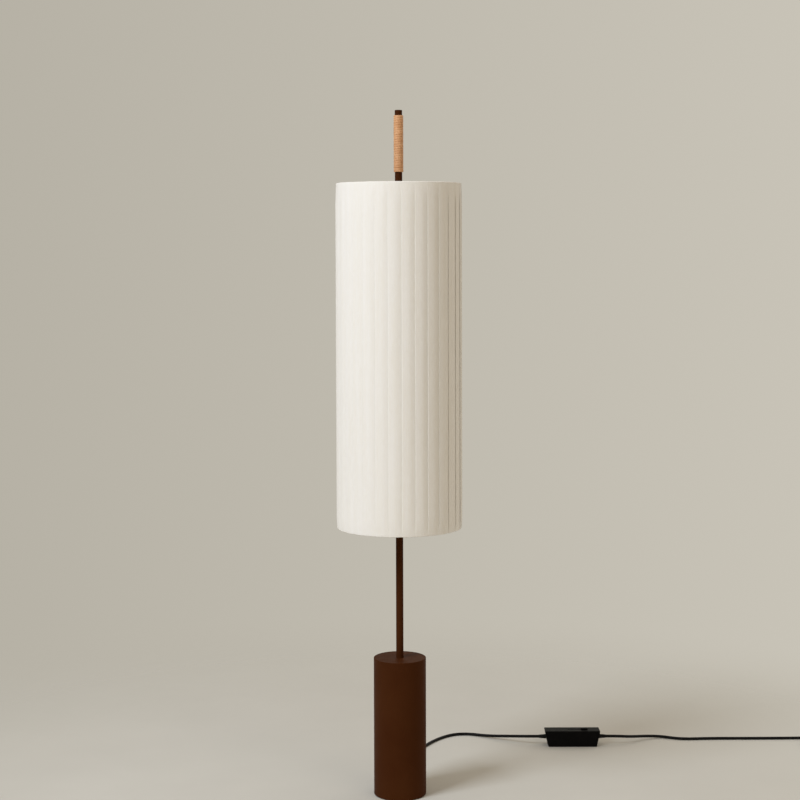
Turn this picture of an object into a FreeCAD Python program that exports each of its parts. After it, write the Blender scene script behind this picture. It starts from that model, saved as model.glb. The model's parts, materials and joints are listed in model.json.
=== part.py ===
import FreeCAD, Part
import math
import os
import re
import Sketcher
from FreeCAD import Placement, Rotation, Vector

# Floor lamp: a brown cylinder base, a slim stem, a tall round shade of lapped paper strips and a wound
# grip on top. Millimetres. The origin is on the floor on the stem's axis, +Z is up, and the mains lead
# leaves the base towards +Y, then runs along the floor towards +X.

SIZES = {
    # base
    "base_radius": 50, "base_top": 264, "base_gap": 1, "base_wall": 2, "base_cap": 3, "base_edge": 0.8,
    "pad_radius": 47, "pad_thick": 3, "plate_radius": 47.6, "plate_thick": 3,
    "weight_top": 166, "recess_radius": 30, "recess_top": 50, "fix_circle": 38,
    "fix_radius": 2, "fix_head": 3.6, "fix_length": 15,
    "rod_radius": 5, "rod_bore": 3.6, "rod_foot": 39.5, "rod_head": 284,
    "nut_flats": 17, "nut_thick": 6, "washer_radius": 14, "washer_thick": 2.5, "spacer_radius": 10,
    # stem and grip
    "stem_radius": 7, "stem_bore": 6, "stem_joint": 780, "coupler_bore": 4.4, "coupler_half": 15,
    "grip_foot": 1191, "grip_head": 1298, "stem_end": 1308, "core_radius": 5, "spigot_length": 20,
    "grip_turns": 23, "grip_pitch": 4.45, "grip_cord_radius": 1.975, "grip_clearance": 0.15,
    "cap_bore": 3.05, "cap_edge": 1.2,
    # shade
    "shade_radius": 120, "strip_step": 1.2, "shade_bore": 118.03, "shade_foot": 515, "shade_head": 1170,
    "strip_count": 30, "first_joint": 2.6, "ring_radius": 115.9, "ring_wire": 2, "ring_inset": 2.5,
    "strut_radius": 1.75, "strut_circle": 112.1, "arm_radius": 2.5, "arm_count": 3,
    "hub_bore": 7.35, "hub_radius": 13, "hub_height": 12, "top_hub_foot": 1149.5, "low_hub_foot": 524,
    "collar_radius": 11, "collar_height": 12, "shade_washer": 1.2, "set_radius": 2, "set_length": 4.4,
    # light sources, each on its own bracket; heights here are above the bracket plate's top face
    "lower_lamp": 640, "upper_lamp": 880, "lamp_offset": 46, "bracket_plate": 3, "bracket_width": 16,
    "bracket_disc": 14, "bracket_collar": 12, "bracket_height": 14, "nipple_radius": 5,
    "nipple_length": 9, "nipple_bore": 3.3, "holder_radius": 20, "holder_bore": 16.5,
    "holder_split": 18, "holder_top": 52, "block_top": 25.7, "screw_radius": 14.4, "screw_bore": 13.8,
    "screw_top": 50, "bulb_foot": 26.3, "bulb_screw": 13.3, "bulb_neck": 51.5, "bulb_radius": 30,
    "bulb_centre": 104, "glass_wall": 1, "glass_foot": 12.8, "glass_neck": 14, "glass_shoulder": 60,
    "glass_lean": 35, "lead_radius": 1.3, "lead_hole": 2.1, "lead_drop": 30, "lead_side": 2.2,
    "lead_inner_bend": 3.5, "lead_outer_bend": 10, "lead_end": 3,
    "cap_foot_radius": 13, "cap_slope": 9, "cap_floor": 3, "cap_well": 11.5, "holder_edge": 1.5,
    "nut_radius": 8.5, "contact_radius": 4.2, "contact_height": 1.7, "bulb_chamfer": 5,
    # mains lead and its way out of the base
    "cord_radius": 3, "cord_exit": 16, "cable_top": 580,
    "relief_foot": 44.5, "relief_wall": 47, "relief_end": 78, "relief_hole": 5.5, "relief_collar": 8,
    "relief_tail": 5.6, "relief_tip": 3.9, "relief_lip": 2.3,
    "clamp_x": 6.2, "clamp_y": 25, "clamp_length": 17.6, "clamp_width": 7, "clamp_screw": 1.5,
    "clamp_head": 2.4, "clamp_head_thick": 2,
    # dimmer
    "dimmer_x": 362, "dimmer_y": 316, "dimmer_half": 51, "dimmer_half_top": 58,
    "dimmer_depth": 32, "dimmer_height": 33.2, "dimmer_split": 18.5, "dimmer_floor": 6,
    "dimmer_lid": 2.2, "dimmer_low_edge": 2.4, "dimmer_top_edge": 1.5, "pocket_half": 42,
    "pocket_depth": 22, "tunnel_radius": 4.65, "boot_radius": 4.55, "boot_flange": 5.8,
    "boot_flange_thick": 2.4, "boot_tip": 3.5, "boot_end": 70,
    "slider_rest": 25.5, "slider_travel": 30, "knob_length": 14, "knob_depth": 9, "knob_height": 2.6,
    "knob_edge": 0.8, "slide_gap": 0.3, "blade_length": 6, "blade_width": 1.6, "blade_drop": 15.9,
    "slot_width": 3.6, "slot_room": 4.2, "fader_width": 10, "fader_foot": 7.8, "fader_height": 12.2,
    "board_length": 78, "board_width": 20, "board_thick": 1.6, "board_foot": 6.1,
    "case_screw_x": 45.6, "case_screw_y": 10.8, "case_screw": 1.25, "case_head": 2.3,
    "case_recess": 2.5, "case_recess_top": 2.6,
    # coil and plug
    "coil_x": 892, "coil_y": 301.9, "coil_z": 4, "coil_inner": 24.5, "coil_pitch": 6.5,
    "coil_layer": 6.6, "coil_turns": 6.25, "coil_turnback": 3.25, "tie_gap": 0.9, "tie_thick": 0.8,
    "tie_width": 9, "tie_rise": 0.5, "tie_edge": 1.5, "tie_angle": 130,
    "plug_x": 934, "plug_rear": 224, "plug_neck": 20, "plug_body": 36, "plug_width": 35,
    "plug_slant": 14, "plug_rear_half": 7, "plug_edge": 3, "plug_thick": 13.6, "plug_z": 6.8,
    "neck_radius": 5.2, "neck_tip": 3.6, "pin_radius": 2, "pin_waist": 1.6, "pin_root": 6.5,
    "pin_length": 19, "pin_spacing": 18.6,
}
SHEET = "Sizes"

# Control points of the mains lead's free stretches, from the base to the plug: straight out of the
# relief, down to the floor, and up again into each end of the dimmer.
ROUTE_TO_DIMMER = [
    (0, 78, 16), (0, 104, 16), (2, 146, 5), (16, 204, 3), (38, 268, 3), (68, 336, 3), (108, 384, 3),
    (146, 391, 3), (187, 369.5, 4), (229, 342, 11.5), (270, 316, 18.5), (292, 316, 18.5),
]
ROUTE_TO_COIL = [
    (432, 316, 18.5), (456, 316, 18.5), (488, 327, 14), (520, 354, 7.5), (552, 363, 3.5), (590, 351, 3),
    (650, 350, 3), (725, 350.5, 3), (800, 349.6, 3.3), (850, 348.48, 4), (886, 347.66, 4),
]
ROUTE_TO_PLUG = [(936.14, 295.9, 10.6), (936.7, 272, 10.6), (934, 246, 6.8), (934, 224, 6.8)]
ROUTE_IN_BASE = [(0, 44.5, 16), (0, 0, 16), (0, 0, 580)]

doc = FreeCAD.newDocument("PaperFloorLamp")
sheet = doc.addObject("Spreadsheet::Sheet", SHEET)
for row, (alias, value) in enumerate(SIZES.items(), start=1):
    sheet.set(f"A{row}", alias)
    sheet.set(f"B{row}", str(value))
    sheet.setAlias(f"B{row}", alias)
doc.recompute()

nodes = []


# ---------------------------------------------------------------- helpers: sheet and document

def bound(text):
    """The expression with each size's name written as a cell of the sheet."""
    def cell(match):
        word = match.group(0)
        return f"{SHEET}.{word}" if word in SIZES else word
    return re.sub(r"[a-z_]+[a-z_0-9]*", cell, str(text))


def size(text):
    """The value of an expression of sizes, in millimetres."""
    return float(sheet.evalExpression(bound(text)))


def bind(item, **properties):
    """Bind properties, such as Radius or Placement_Base_z, to expressions of sizes."""
    for name, text in properties.items():
        item.setExpression(name.replace("_", "."), bound(text))
    return item


def keep(item, label):
    """Name a finished sub-part, so that it is written as a node."""
    item.Label = label
    nodes.append(item)
    return item


def feature(label, shape, placement=None):
    """A sub-part whose shape comes from Part's own functions."""
    item = doc.addObject("Part::Feature", label)
    item.Shape = shape
    if placement is not None:
        item.Placement = placement
    return item


def cylinder(radius, height, x="0", y="0", z="0", turn=None):
    """A solid cylinder along +Z, or along the axis that turn gives, from its foot at x, y, z."""
    item = doc.addObject("Part::Cylinder", "cylinder")
    if turn is not None:
        item.Placement = Placement(Vector(), turn)
    return bind(item, Radius=radius, Height=height, Placement_Base_x=x, Placement_Base_y=y,
                Placement_Base_z=z)


def block(length, width, height, x, y, z):
    """A box of length, width and height with its low corner at x, y, z."""
    item = doc.addObject("Part::Box", "block")
    return bind(item, Length=length, Width=width, Height=height, Placement_Base_x=x,
                Placement_Base_y=y, Placement_Base_z=z)


def fused(*items):
    item = doc.addObject("Part::MultiFuse", "fused")
    item.Shapes = list(items)
    return item


def group(*items):
    item = doc.addObject("Part::Compound", "group")
    item.Links = list(items)
    return item


def cut(base, *tools):
    item = doc.addObject("Part::Cut", "cut")
    item.Base = base
    item.Tool = tools[0] if len(tools) == 1 else group(*tools)
    return item


ALONG_Y = Rotation(Vector(1, 0, 0), -90)
ALONG_X = Rotation(Vector(0, 1, 0), 90)


# ---------------------------------------------------------------- helpers: bodies and sketches

def origin_plane(body, role):
    for item in body.Origin.OriginFeatures:
        if item.Role == role:
            return item
    raise ValueError(role)


def new_sketch(body, role, offset="0"):
    """A sketch on one of the body's own origin planes, moved along the plane's normal by offset."""
    sketch = body.newObject("Sketcher::SketchObject", "outline")
    sketch.AttachmentSupport = [(origin_plane(body, role), "")]
    sketch.MapMode = "FlatFace"
    sketch.setExpression("AttachmentOffset.Base.z", bound(offset))
    return sketch


def place_point(sketch, line, point, x, y):
    """Fix one sketch point at the expressions x and y."""
    for kind, axis, text in (("DistanceX", -2, x), ("DistanceY", -1, y)):
        value = size(text)
        if abs(value) < 1e-9:
            sketch.addConstraint(Sketcher.Constraint("PointOnObject", line, point, axis))
        else:
            index = sketch.addConstraint(Sketcher.Constraint(kind, -1, 1, line, point, value))
            sketch.setExpression(f"Constraints[{index}]", bound(text))


def draw_polygon(sketch, corners):
    """A closed outline of straight lines through corners, each a pair of expressions."""
    spots = [Vector(size(x), size(y), 0) for x, y in corners]
    first = sketch.GeometryCount
    count = len(corners)
    for index in range(count):
        sketch.addGeometry(Part.LineSegment(spots[index], spots[(index + 1) % count]), False)
    for index in range(count):
        following = first + (index + 1) % count
        sketch.addConstraint(Sketcher.Constraint("Coincident", first + index, 2, following, 1))
    for index, (x, y) in enumerate(corners):
        place_point(sketch, first + index, 1, x, y)


def draw_circle(sketch, radius, x="0", y="0"):
    line = sketch.addGeometry(Part.Circle(Vector(size(x), size(y), 0), Vector(0, 0, 1), size(radius)), False)
    index = sketch.addConstraint(Sketcher.Constraint("Radius", line, size(radius)))
    sketch.setExpression(f"Constraints[{index}]", bound(radius))
    place_point(sketch, line, 3, x, y)


def turned(label, corners):
    """A body turned about Z from an outline of (radius, height) corners."""
    body = doc.addObject("PartDesign::Body", label)
    sketch = new_sketch(body, "XZ_Plane")
    draw_polygon(sketch, corners)
    spin = body.newObject("PartDesign::Revolution", "turn")
    spin.Profile = sketch
    spin.ReferenceAxis = (sketch, ["V_Axis"])
    spin.Angle = 360
    doc.recompute()
    return body


def ring(label, inner, outer, foot, head):
    """A plain turned ring, tube or washer between two radii and two heights; inner 0 gives a disc."""
    return turned(label, [(inner, foot), (outer, foot), (outer, head), (inner, head)])


def padded(body, sketch, length, both_ways=False, backwards=False):
    pad = body.newObject("PartDesign::Pad", "pad")
    pad.Profile = sketch
    if both_ways:
        pad.SideType = "Symmetric"
    pad.Reversed = backwards
    pad.setExpression("Length", bound(length))
    doc.recompute()
    return pad


def pocketed(body, sketch, length, backwards=False):
    """Cut a pocket and make sure that it took material away."""
    before = body.Shape.Volume
    pocket = body.newObject("PartDesign::Pocket", "pocket")
    pocket.Profile = sketch
    pocket.Reversed = backwards
    pocket.setExpression("Length", bound(length))
    doc.recompute()
    if not body.Shape.Volume < before - 1e-3:
        raise RuntimeError(f"{body.Label}: a pocket cut nothing")
    return pocket


def rounded(body, base, radius, wanted):
    """Fillet the edges of base that wanted(edge) picks."""
    names = [f"Edge{number}" for number, edge in enumerate(base.Shape.Edges, start=1) if wanted(edge)]
    if not names:
        raise RuntimeError(f"{body.Label}: no edge to round")
    fillet = body.newObject("PartDesign::Fillet", "round")
    fillet.Base = (base, names)
    fillet.setExpression("Radius", bound(radius))
    doc.recompute()
    return fillet


def repeated(body, made, sketch, count):
    """A polar pattern of one feature about the sketch's normal through the origin."""
    pattern = body.newObject("PartDesign::PolarPattern", "around")
    pattern.Originals = [made]
    pattern.Axis = (sketch, ["N_Axis"])
    pattern.Angle = 360
    pattern.setExpression("Occurrences", bound(count))
    body.Tip = pattern
    doc.recompute()
    return pattern


def circle_at(height, radius):
    """A test for a full round edge of one radius at one height."""
    def wanted(edge):
        curve = edge.Curve
        if not isinstance(curve, Part.Circle):
            return False
        return abs(curve.Center.z - size(height)) < 1e-6 and abs(curve.Radius - size(radius)) < 1e-6
    return wanted


# ---------------------------------------------------------------- helpers: cords and windings

def arc_between(start, corner, end):
    """The arc that touches start-corner at start and corner-end at end; the two legs are equal."""
    middle = (start + end) * 0.5
    half = (end - start).Length / 2
    rise = (corner - middle).Length
    sagitta = half * math.tan(math.atan2(rise, half) / 2)
    top = middle + (corner - middle).normalize() * sagitta
    return Part.Arc(start, top, end).toShape()


def route_path(name, points):
    """Straight runs joined by tangent arcs, each as large as its two runs allow."""
    share = 0.45
    spots = [Vector(*point) for point in points]
    edges = []
    radii = []
    at = spots[0]
    for before, corner, after in zip(spots, spots[1:], spots[2:]):
        inward = corner - before
        outward = after - corner
        turn = inward.getAngle(outward)
        leg = share * min(inward.Length, outward.Length)
        radii.append(leg / math.tan(turn / 2))
        start = corner - inward.normalize() * leg
        end = corner + outward.normalize() * leg
        edges.append(Part.LineSegment(at, start).toShape())
        edges.append(arc_between(start, corner, end))
        at = end
    edges.append(Part.LineSegment(at, spots[-1]).toShape())
    print(f"{name}: radii {', '.join(f'{radius:.0f}' for radius in radii)} mm")
    return Part.Wire(edges)


def biarc(start, leave, end, arrive):
    """Two arcs that leave start along one unit tangent and reach end along the other."""
    chord = end - start
    both = leave + arrive
    spread = 2 * (1 - leave.dot(arrive))
    along = chord.dot(both)
    if spread < 1e-9:
        reach = chord.dot(chord) / (2 * along)
    else:
        reach = (math.sqrt(along * along + spread * chord.dot(chord)) - along) / spread
    first = start + leave * reach
    second = end - arrive * reach
    joint = (first + second) * 0.5
    return [arc_between(start, first, joint), arc_between(joint, second, end)]


def winding_path(spot, turns, straight):
    """Biarcs of a quarter turn along spot(turn), with a straight run before and after."""
    step = 1e-5
    quarters = round(turns * 4)

    def heading(turn):
        return (spot(turn + step) - spot(turn - step)).normalize()

    places = [index / 4 for index in range(quarters + 1)]
    edges = [Part.LineSegment(spot(0) - heading(0) * straight, spot(0)).toShape()]
    for here, there in zip(places, places[1:]):
        edges += biarc(spot(here), heading(here), spot(there), heading(there))
    edges.append(Part.LineSegment(spot(turns), spot(turns) + heading(turns) * straight).toShape())
    return Part.Wire(edges)


def least_gap(path, radius):
    """The least free space between turns, measured on points along the path."""
    spacing = radius
    count = int(path.Length / spacing)
    points = path.discretize(Number=count)
    apart = int(8 * radius / spacing)
    least = min((points[here] - points[there]).Length
                for here in range(count) for there in range(here + apart, count))
    return least - 2 * radius


def swept(name, path, radius):
    """A round tube along a path, its volume compared with its section times its length."""
    start = path.Edges[0].valueAt(path.Edges[0].FirstParameter)
    heading = path.Edges[0].tangentAt(path.Edges[0].FirstParameter)
    section = Part.Wire([Part.Circle(start, heading, radius).toShape()])
    solid = path.makePipeShell([section], True, False)
    expected = math.pi * radius ** 2 * path.Length
    print(f"{name}: length {path.Length:.0f} mm, volume {solid.Volume / expected:.4f} of expected")
    return solid


def cord(label, points, radius):
    path = route_path(label, points)
    return keep(feature(label, swept(label, path, radius)), label)


# ---------------------------------------------------------------- base

def make_floor_pad():
    body = ring("floor_pad", "0", "pad_radius", "0", "pad_thick")
    sketch = new_sketch(body, "XY_Plane")
    draw_circle(sketch, "fix_head + 0.8", "0", "-fix_circle")
    hole = pocketed(body, sketch, "pad_thick", backwards=True)
    repeated(body, hole, sketch, "3")
    keep(body, "floor_pad")


def make_base_plate():
    """The steel plate under the cast weight, with three fixing holes and two for the cord clamp."""
    body = ring("base_plate_blank", "0", "plate_radius", "pad_thick", "pad_thick + plate_thick")
    sketch = new_sketch(body, "XY_Plane", "pad_thick")
    draw_circle(sketch, "fix_radius + 0.1", "0", "-fix_circle")
    hole = pocketed(body, sketch, "plate_thick", backwards=True)
    repeated(body, hole, sketch, "3")
    clamp_holes = [cylinder("clamp_screw + 0.05", "3 * plate_thick", x, "clamp_y")
                   for x in ("-clamp_x", "clamp_x")]
    keep(cut(body, *clamp_holes), "base_plate")


def make_base_plate_screws():
    screws = []
    for number in range(3):
        angle = 270 + 120 * number
        x = f"fix_circle * cos({angle})"
        y = f"fix_circle * sin({angle})"
        head = cylinder("fix_head", "pad_thick - 0.6", x, y, "0.6")
        shank = cylinder("fix_radius", "fix_length", x, y, "pad_thick")
        screws.append(fused(head, shank))
    keep(group(*screws), "base_plate_screws")


def make_base_weight():
    """Cast-iron slug with a bore for the threaded tube, a recess below and a channel to the back."""
    foot = "pad_thick + plate_thick"
    body = turned("base_weight_blank", [
        ("recess_radius", foot), ("plate_radius", foot), ("plate_radius", "weight_top"),
        ("rod_radius + 0.3", "weight_top"), ("rod_radius + 0.3", "recess_top"),
        ("recess_radius", "recess_top"),
    ])
    channel = block("19", "plate_radius - 20", "20", "-9.5", "20", foot)
    holes = []
    for number in range(3):
        angle = 270 + 120 * number
        holes.append(cylinder("fix_radius + 0.05", "fix_length + 1", f"fix_circle * cos({angle})",
                              f"fix_circle * sin({angle})", "pad_thick"))
    keep(cut(body, channel, *holes), "base_weight")


def make_base_shell():
    """The brown cylinder: a thin drawn cup, open below, with a hole on top and one behind."""
    inner = "base_radius - base_wall"
    ceiling = "base_top - base_cap"
    hole = "rod_radius + 0.15"
    body = turned("base_shell_blank", [
        (inner, "base_gap"), ("base_radius", "base_gap"), ("base_radius", "base_top"),
        (hole, "base_top"), (hole, ceiling), (inner, ceiling),
    ])
    rounded(body, body.Tip, "base_edge", circle_at("base_top", "base_radius"))
    exit_hole = cylinder("relief_hole", "20", "0", "base_radius - 10", "cord_exit", ALONG_Y)
    keep(cut(body, exit_hole), "base_shell")


def make_base_fixings():
    keep(ring("spacer_tube", "rod_radius + 0.3", "spacer_radius", "weight_top", "base_top - base_cap"),
         "spacer_tube")
    keep(ring("threaded_tube", "rod_bore", "rod_radius", "rod_foot", "rod_head"), "threaded_tube")
    washer_foot = "recess_top - washer_thick"
    keep(ring("clamp_washer", "rod_radius + 0.15", "washer_radius", washer_foot, "recess_top"),
         "clamp_washer")
    body = doc.addObject("PartDesign::Body", "clamp_nut")
    sketch = new_sketch(body, "XY_Plane", f"{washer_foot} - nut_thick")
    corner = "nut_flats / 2 / cos(30)"
    draw_polygon(sketch, [(f"{corner} * cos({60 * side})", f"{corner} * sin({60 * side})")
                          for side in range(6)])
    draw_circle(sketch, "rod_radius + 0.03")
    padded(body, sketch, "nut_thick")
    keep(body, "clamp_nut")


def make_base_relief():
    """The rubber relief in the shell's back: a collar on each side of the wall and a tapered tail."""
    body = turned("base_relief", [
        ("0", "relief_foot"), ("relief_collar", "relief_foot"), ("relief_collar", "relief_wall"),
        ("relief_hole - 0.2", "relief_wall"), ("relief_hole - 0.2", "base_radius + 0.1"),
        ("relief_collar", "base_radius + 0.1"), ("relief_collar", "base_radius + relief_lip"),
        ("relief_tail", "base_radius + relief_lip"), ("relief_tip", "relief_end"), ("0", "relief_end"),
    ])
    body.Placement = Placement(Vector(0, 0, size("cord_exit")), ALONG_Y)
    keep(body, "base_relief")


def make_cord_clamp():
    """The saddle that holds the lead on the plate, with a screw through each of its ends."""
    top = "cord_exit + 2 * cord_radius"
    foot = "pad_thick + plate_thick"
    saddle = block("clamp_length", "clamp_width", f"{top} - ({foot})", "-clamp_length / 2",
                   "clamp_y - clamp_width / 2", foot)
    cord_hole = cylinder("cord_radius + 0.05", "2 * clamp_width", "0", "clamp_y - clamp_width",
                         "cord_exit", ALONG_Y)
    holes = []
    screws = []
    for x in ("-clamp_x", "clamp_x"):
        holes.append(cylinder("clamp_screw + 0.05", f"{top} + 1", x, "clamp_y"))
        head = cylinder("clamp_head", "clamp_head_thick", x, "clamp_y", top)
        shank = cylinder("clamp_screw", f"{top} - pad_thick - 0.3", x, "clamp_y", "pad_thick + 0.3")
        screws.append(fused(head, shank))
    keep(cut(saddle, cord_hole, *holes), "cord_clamp")
    keep(group(*screws), "clamp_screws")


# ---------------------------------------------------------------- stem and grip

def make_stem():
    side_hole = "lead_hole"
    lower = ring("stem_lower_blank", "stem_bore", "stem_radius", "base_top", "stem_joint")
    hole = cylinder(side_hole, "10", "-10", "0", "lower_lamp - lead_drop", ALONG_X)
    keep(cut(lower, hole), "stem_lower")
    upper = ring("stem_upper_blank", "stem_bore", "stem_radius", "stem_joint", "grip_foot")
    hole = cylinder(side_hole, "10", "0", "0", "upper_lamp - lead_drop", ALONG_X)
    keep(cut(upper, hole), "stem_upper")
    keep(ring("foot_bush", "rod_radius + 0.03", "stem_bore - 0.03", "base_top + 0.2", "rod_head"),
         "foot_bush")
    keep(ring("stem_coupler", "coupler_bore", "stem_bore - 0.03", "stem_joint - coupler_half",
              "stem_joint + coupler_half"), "stem_coupler")


def make_grip():
    spigot = "stem_bore - 0.03"
    stub = "cap_bore - 0.05"
    keep(turned("grip_rod", [
        ("0", "grip_foot - spigot_length"), (spigot, "grip_foot - spigot_length"), (spigot, "grip_foot"),
        ("core_radius", "grip_foot"), ("core_radius", "grip_head"), (stub, "grip_head"),
        (stub, "stem_end - 2"), ("0", "stem_end - 2"),
    ]), "grip_rod")
    body = turned("stem_cap", [
        ("cap_bore", "grip_head"), ("stem_radius", "grip_head"), ("stem_radius", "stem_end"),
        ("0", "stem_end"), ("0", "stem_end - 1.8"), ("cap_bore", "stem_end - 1.8"),
    ])
    rounded(body, body.Tip, "cap_edge", circle_at("stem_end", "stem_radius"))
    keep(body, "stem_cap")

    tube = size("grip_cord_radius")
    middle = size("core_radius + grip_clearance") + tube
    turns = size("grip_turns")
    pitch = size("grip_pitch")
    slack = size("grip_head - grip_foot") - turns * pitch - 2 * tube
    foot = size("grip_foot") + slack / 2 + tube

    def spot(turn):
        angle = 2 * math.pi * turn
        return Vector(middle * math.cos(angle), middle * math.sin(angle), foot + pitch * turn)

    path = winding_path(spot, turns, 2 * tube)
    print(f"grip_winding: {turns:.0f} loops, least gap {least_gap(path, tube):.2f} mm")
    keep(feature("grip_winding", swept("grip_winding", path, tube)), "grip_winding")


# ---------------------------------------------------------------- shade

def polygon_face(spots):
    """A flat face inside straight lines through (radius, angle in degrees) spots."""
    corners = [Vector(radius * math.cos(math.radians(angle)), radius * math.sin(math.radians(angle)), 0)
               for radius, angle in spots]
    return Part.Face(Part.makePolygon(corners + corners[:1]))


def make_shade_cover():
    """A thin tube of upright strips, each raised at its left edge and lapped at its right."""
    count = int(size("strip_count"))
    high = size("shade_radius")
    low = high - size("strip_step")
    pitch = 360 / count
    first = 270 + size("first_joint")
    outside = polygon_face([(radius, first + number * pitch)
                            for number in range(count) for radius in (low, high)])
    parts_per_strip = 3
    inside = polygon_face([(size("shade_bore"), first + number * pitch / parts_per_strip)
                           for number in range(count * parts_per_strip)])
    height = Vector(0, 0, size("shade_head - shade_foot"))
    item = feature("shade_cover", outside.cut(inside).extrude(height))
    bind(item, Placement_Base_z="shade_foot")
    keep(item, "shade_cover")


def make_shade_frame():
    for label, height in (("shade_top_ring", "shade_head - ring_inset"),
                          ("shade_bottom_ring", "shade_foot + ring_inset")):
        item = doc.addObject("Part::Torus", label)
        bind(item, Radius1="ring_radius", Radius2="ring_wire", Placement_Base_z=height)
        keep(item, label)
    struts = []
    for number in range(3):
        angle = 270 + 120 * number
        struts.append(cylinder("strut_radius", "shade_head - shade_foot - 1",
                               f"strut_circle * cos({angle})", f"strut_circle * sin({angle})",
                               "shade_foot + 0.5"))
    keep(group(*struts), "shade_struts")


def make_spider(label, foot):
    """A hub on the stem with three round arms, one for each upright."""
    body = ring(label, "hub_bore", "hub_radius", foot, f"{foot} + hub_height")
    start = "(hub_bore + hub_radius) / 2"
    sketch = new_sketch(body, "XZ_Plane", start)
    draw_circle(sketch, "arm_radius", "0", f"{foot} + hub_height / 2")
    arm = padded(body, sketch, f"strut_circle - strut_radius - 0.05 - {start}")
    turn_sketch = new_sketch(body, "XY_Plane")
    draw_circle(turn_sketch, "hub_radius")
    repeated(body, arm, turn_sketch, "arm_count")
    keep(body, label)


def make_shade_seat():
    washer_foot = "top_hub_foot - slide_gap - shade_washer"
    collar = ring("shade_collar_blank", "stem_radius + 0.02", "collar_radius",
                  f"{washer_foot} - collar_height", washer_foot)
    hole = cylinder("set_radius + 0.05", "10", "stem_radius - 1", "0",
                    f"{washer_foot} - collar_height / 2", ALONG_X)
    keep(cut(collar, hole), "shade_collar")
    keep(ring("shade_washer", "stem_radius + 0.1", "collar_radius", washer_foot,
              "top_hub_foot - slide_gap"), "shade_washer")


def make_set_screws():
    """Three grub screws: one in the shade's collar and one in each lamp bracket."""
    collar_level = "top_hub_foot - slide_gap - shade_washer - collar_height / 2"
    bracket_level = "bracket_height / 2"
    start = "stem_radius + 0.05"
    screws = [
        cylinder("set_radius", "set_length", start, "0", collar_level, ALONG_X),
        cylinder("set_radius", "set_length", start, "0", f"lower_lamp - {bracket_level}", ALONG_X),
        cylinder("set_radius", "set_length", f"-({start}) - set_length", "0",
                 f"upper_lamp - {bracket_level}", ALONG_X),
    ]
    keep(group(*screws), "set_screws")


# ---------------------------------------------------------------- light sources

def lamp_place(turn, height):
    """The frame of one lamp: the stem's axis, turned, at the height of the bracket plate's top."""
    return Placement(Vector(0, 0, size(height)), Rotation(Vector(0, 0, 1), turn))


def on_lamp(item, turn, height):
    """Stand a part that is turned about its own axis on the lamp's axis."""
    place = lamp_place(turn, height)
    item.Placement = Placement(place.multVec(Vector(size("lamp_offset"), 0, 0)), place.Rotation)
    return item


def make_bracket(label, turn, height):
    collar = cylinder("bracket_collar", "bracket_height", z="-bracket_height")
    arm = block("lamp_offset", "bracket_width", "bracket_plate", "0", "-bracket_width / 2",
                "-bracket_plate")
    disc = cylinder("bracket_disc", "bracket_plate", "lamp_offset", "0", "-bracket_plate")
    stem_hole = cylinder("stem_radius + 0.03", "bracket_height + 2", z="-bracket_height - 1")
    nipple_hole = cylinder("nipple_radius + 0.1", "bracket_plate + 2", "lamp_offset", "0",
                           "-bracket_plate - 1")
    screw_hole = cylinder("set_radius + 0.05", "10", "-stem_radius - 9", "0", "-bracket_height / 2",
                          ALONG_X)
    item = cut(fused(collar, arm, disc), stem_hole, nipple_hole, screw_hole)
    item.Placement = lamp_place(turn, height)
    keep(item, label)


def make_holder(name, turn, height):
    """A bulb holder: its cap with the nipple, the outer shell, the contact block and the screw shell."""
    inside = "nipple_bore"
    cap = turned(f"{name}_holder_cap", [
        (inside, "-nipple_length"), ("nipple_radius", "-nipple_length"), ("nipple_radius", "0"),
        ("cap_foot_radius", "0"), ("holder_radius", "cap_slope"), ("holder_radius", "holder_split"),
        ("holder_bore", "holder_split"), ("holder_bore", "cap_slope + 1"), ("cap_well", "cap_floor"),
        (inside, "cap_floor"),
    ])
    keep(on_lamp(cap, turn, height), f"{name}_holder_cap")
    shell = ring(f"{name}_holder_shell", "holder_bore", "holder_radius", "holder_split", "holder_top")
    rounded(shell, shell.Tip, "holder_edge", circle_at("holder_top", "holder_radius"))
    keep(on_lamp(shell, turn, height), f"{name}_holder_shell")
    contacts = ring(f"{name}_contact_block", "0", "holder_bore - 0.1", "holder_split + 0.05", "block_top")
    keep(on_lamp(contacts, turn, height), f"{name}_contact_block")
    thread = ring(f"{name}_screw_shell", "screw_bore", "screw_radius", "block_top", "screw_top")
    keep(on_lamp(thread, turn, height), f"{name}_screw_shell")


def glass_profile(inset):
    """Half the bulb's outline in the XZ plane, drawn inwards by inset: neck, flare and dome."""
    ball = size("bulb_radius") - inset
    centre = size("bulb_centre")
    lean = math.radians(size("glass_lean"))
    foot_point = Vector(size("glass_foot") - inset, 0, size("bulb_neck"))
    neck_point = Vector(size("glass_neck") - inset, 0, size("glass_shoulder"))
    touch = Vector(ball * math.cos(lean), 0, centre - ball * math.sin(lean))
    top = Vector(0, 0, centre + ball)
    chord = touch - neck_point
    bend = math.atan2(chord.z, chord.x) - (math.pi / 2 - lean)
    bulge = chord.Length / 2 * math.tan(bend / 2)
    across = Vector(-chord.z, 0, chord.x).normalize()
    flare = (neck_point + touch) * 0.5 + across * bulge
    side = Vector(ball * math.cos(math.radians(30)), 0, centre + ball * math.sin(math.radians(30)))
    return [Part.LineSegment(foot_point, neck_point).toShape(),
            Part.Arc(neck_point, flare, touch).toShape(),
            Part.Arc(touch, side, top).toShape()]


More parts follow.
